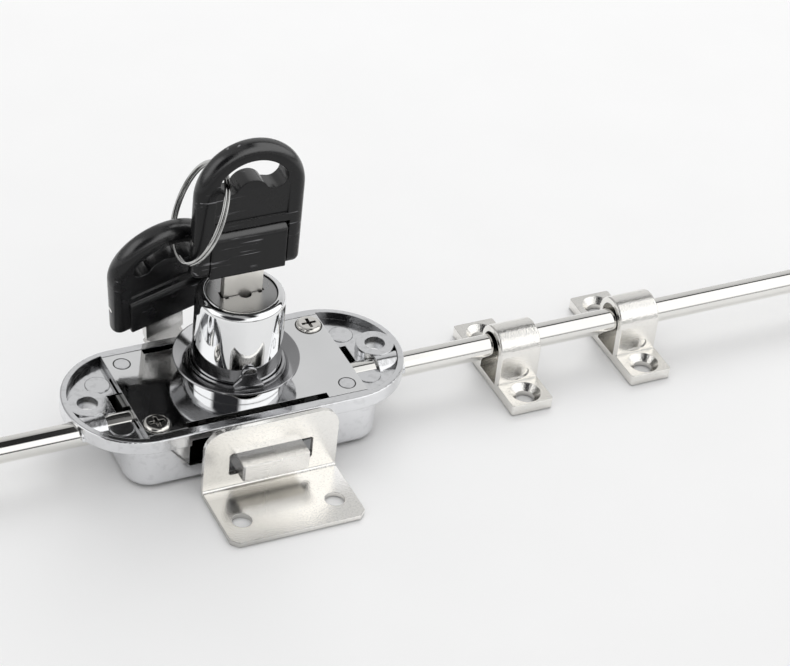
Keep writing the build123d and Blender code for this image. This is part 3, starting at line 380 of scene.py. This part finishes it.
def add_world():
    """A plain studio for the metal to mirror, even light for the rest, and a pale background."""
    world = bpy.data.worlds.new("studio")
    bpy.context.scene.world = world
    world.use_nodes = True
    tree = world.node_tree
    tree.nodes.clear()
    direction = tree.nodes.new("ShaderNodeTexCoord").outputs["Generated"]
    parts = split(tree, direction)
    height = remap(tree, combine(tree, "ARCTAN2", parts["Z"], parts["Y"]), 0.0, math.pi)
    level = ramp(tree, height, LEFT_END)
    for start, end, stops in STRIPS:
        level = blend(tree, remap(tree, parts["X"], start, end), level, ramp(tree, height, stops))
    dark = remap(tree, measure(tree, "DOT_PRODUCT", direction, DARK_SIDE), DARK_START, DARK_FULL)
    mirrored = background(tree, blend(tree, dark, level, DARK_COLOUR), STUDIO_LEVEL)
    lit = background(tree, LIGHT_COLOUR, LIGHT_LEVEL)
    seen = background(tree, SEEN_COLOUR, SEEN_LEVEL)
    ray = tree.nodes.new("ShaderNodeLightPath").outputs
    unseen = mix_shaders(tree, ray["Is Glossy Ray"], lit, mirrored)
    show(tree, mix_shaders(tree, ray["Is Camera Ray"], unseen, seen), "ShaderNodeOutputWorld")


def add_floor():
    """Pale paper floor, which to the metal ends with the table."""
    mesh = bpy.data.meshes.new("floor")
    mesh.from_pydata([(x * FLOOR_REACH, y * FLOOR_REACH, 0.0)
                      for x, y in ((-1, -1), (1, -1), (1, 1), (-1, 1))], [], [(0, 1, 2, 3)])
    floor = bpy.data.objects.new("floor", mesh)
    floor.location = (0.0, 0.0, -FLOOR_DROP)
    bpy.context.scene.collection.objects.link(floor)
    material, tree, shader = new_material("floor_paper")
    shader.inputs["Roughness"].default_value = PAPER_ROUGHNESS
    shader.inputs["Specular IOR Level"].default_value = PAPER_SHEEN
    fibre = remap(tree, noise(tree, scale=30.0, detail=2.0), NOISE_LOW, NOISE_HIGH)
    tree.links.new(blend(tree, fibre, PAPER_DARK, PAPER_LIGHT), shader.inputs["Base Color"])
    away = measure(tree, "DISTANCE", own_place(tree), (0.0, 0.0, 0.0))
    past = remap(tree, away, TABLE_REACH, TABLE_REACH + TABLE_FADE)
    glossy = tree.nodes.new("ShaderNodeLightPath").outputs["Is Glossy Ray"]
    room = tree.nodes.new("ShaderNodeEmission")
    room.inputs["Color"].default_value = (*ROOM_COLOUR, 1.0)
    show(tree, mix_shaders(tree, combine(tree, "MULTIPLY", past, glossy), shader.outputs["BSDF"],
                           room.outputs["Emission"]))
    mesh.materials.append(material)


def add_lamps():
    """Soft lamps that face the lock, and that the metal doesn't mirror."""
    for name, place, width, power in LAMPS:
        data = bpy.data.lights.new(name, "AREA")
        data.shape = "SQUARE"
        data.size = width
        data.energy = power
        lamp = bpy.data.objects.new(name, data)
        lamp.location = place
        lamp.rotation_euler = (-Vector(place)).to_track_quat("-Z", "Y").to_euler()
        lamp.visible_glossy = False
        bpy.context.scene.collection.objects.link(lamp)


bpy.context.scene.view_settings.view_transform = "Standard"
add_camera()
add_world()
add_floor()
add_lamps()

dress(["lock_case"], metal(
    "case_metal", colour=(0.845, 0.85, 0.865), roughness=0.15, grain=0.10, grain_scale=650.0,
    gap_shade=0.04, reach=0.0032, low=0.10, high=0.55, pits=0.10, boxes=[CASE_HOLLOW],
    bores=[*FIXING_HOLES, *RIM_ENDS]))
dress(["cover_plate"], metal(
    "cover_metal", colour=CHROME, roughness=0.085, grain=0.02, edge=0.0002, gap_shade=0.05,
    boxes=[COVER_NOTCH], bores=SCREW_GAPS))
dress(["cylinder_housing"], metal(
    "barrel_metal", colour=CHROME, roughness=0.045, grain=0.008, edge=0.0002))
dress(["trim_ring"], metal(
    "ring_metal", colour=(0.50, 0.50, 0.51), roughness=0.13, grain=0.02, edge=0.0003))
dress(["cover_screws"], metal(
    "screw_metal", colour=(0.86, 0.84, 0.80), roughness=0.12, grain=0.05, gap_shade=0.04,
    reach=0.0022, low=0.2, high=0.7))
dress(["cylinder_plug"], metal(
    "plug_metal", colour=(0.42, 0.42, 0.42), roughness=0.27, grain=0.09, grain_scale=3000.0,
    gap_shade=0.05, reach=0.0022))
dress(["left_rod", "right_rod"], metal(
    "rod_metal", colour=(0.87, 0.86, 0.83), roughness=0.05, grain=0.012, stretch=ALONG_X))
dress(["guide_inner", "guide_outer"], metal(
    "guide_metal", colour=NICKEL, roughness=0.12, grain=0.17, grain_scale=3000.0, gap_shade=0.10,
    reach=0.0034, pits=0.12))
dress(["strike_plate"], metal(
    "strike_metal", colour=(0.97, 0.955, 0.92), roughness=0.17, grain=0.10, grain_scale=2600.0,
    gap_shade=0.25, pits=0.16, boxes=STRIKE_FOOT))
dress(["deadbolt"], metal(
    "bolt_metal", colour=(0.98, 0.97, 0.95), roughness=0.28, grain=0.24, grain_scale=3600.0,
    pits=0.22))
dress(["key_blade"], metal(
    "blade_metal", colour=(1.0, 0.975, 0.92), roughness=0.42, grain=0.08, stretch=ALONG_Z))
dress(["spare_key_blade"], metal(
    "worn_blade_metal", colour=(0.66, 0.65, 0.63), roughness=0.22, grain=0.10, stretch=ALONG_Z))
dress(["key_ring"], metal(
    "wire_metal", colour=(0.52, 0.52, 0.51), roughness=0.10, grain=0.03, edge=0, gap_shade=0.3,
    reach=0.0006))
dress(["key_hinge_pin", "spare_key_hinge_pin", "left_carrier_pin", "right_carrier_pin",
       "plug_clip", "wafer_springs"], metal(
    "pin_metal", colour=(0.80, 0.79, 0.77), roughness=0.18, edge=0))
dress(["left_rod_carrier", "right_rod_carrier", "drive_pinion"], metal(
    "inner_metal", colour=(0.55, 0.55, 0.54), roughness=0.35, grain=0.2, gap_shade=0.03, reach=0.004,
    low=0.2, high=0.8))
dress(["wafer_1", "wafer_2", "wafer_3", "wafer_4", "wafer_5"], metal(
    "wafer_metal", colour=(0.80, 0.62, 0.30), roughness=0.3, edge=0))
dress(["key_bow", "key_blade_holder", "spare_key_bow", "spare_key_blade_holder"],
      plastic("key_plastic"))
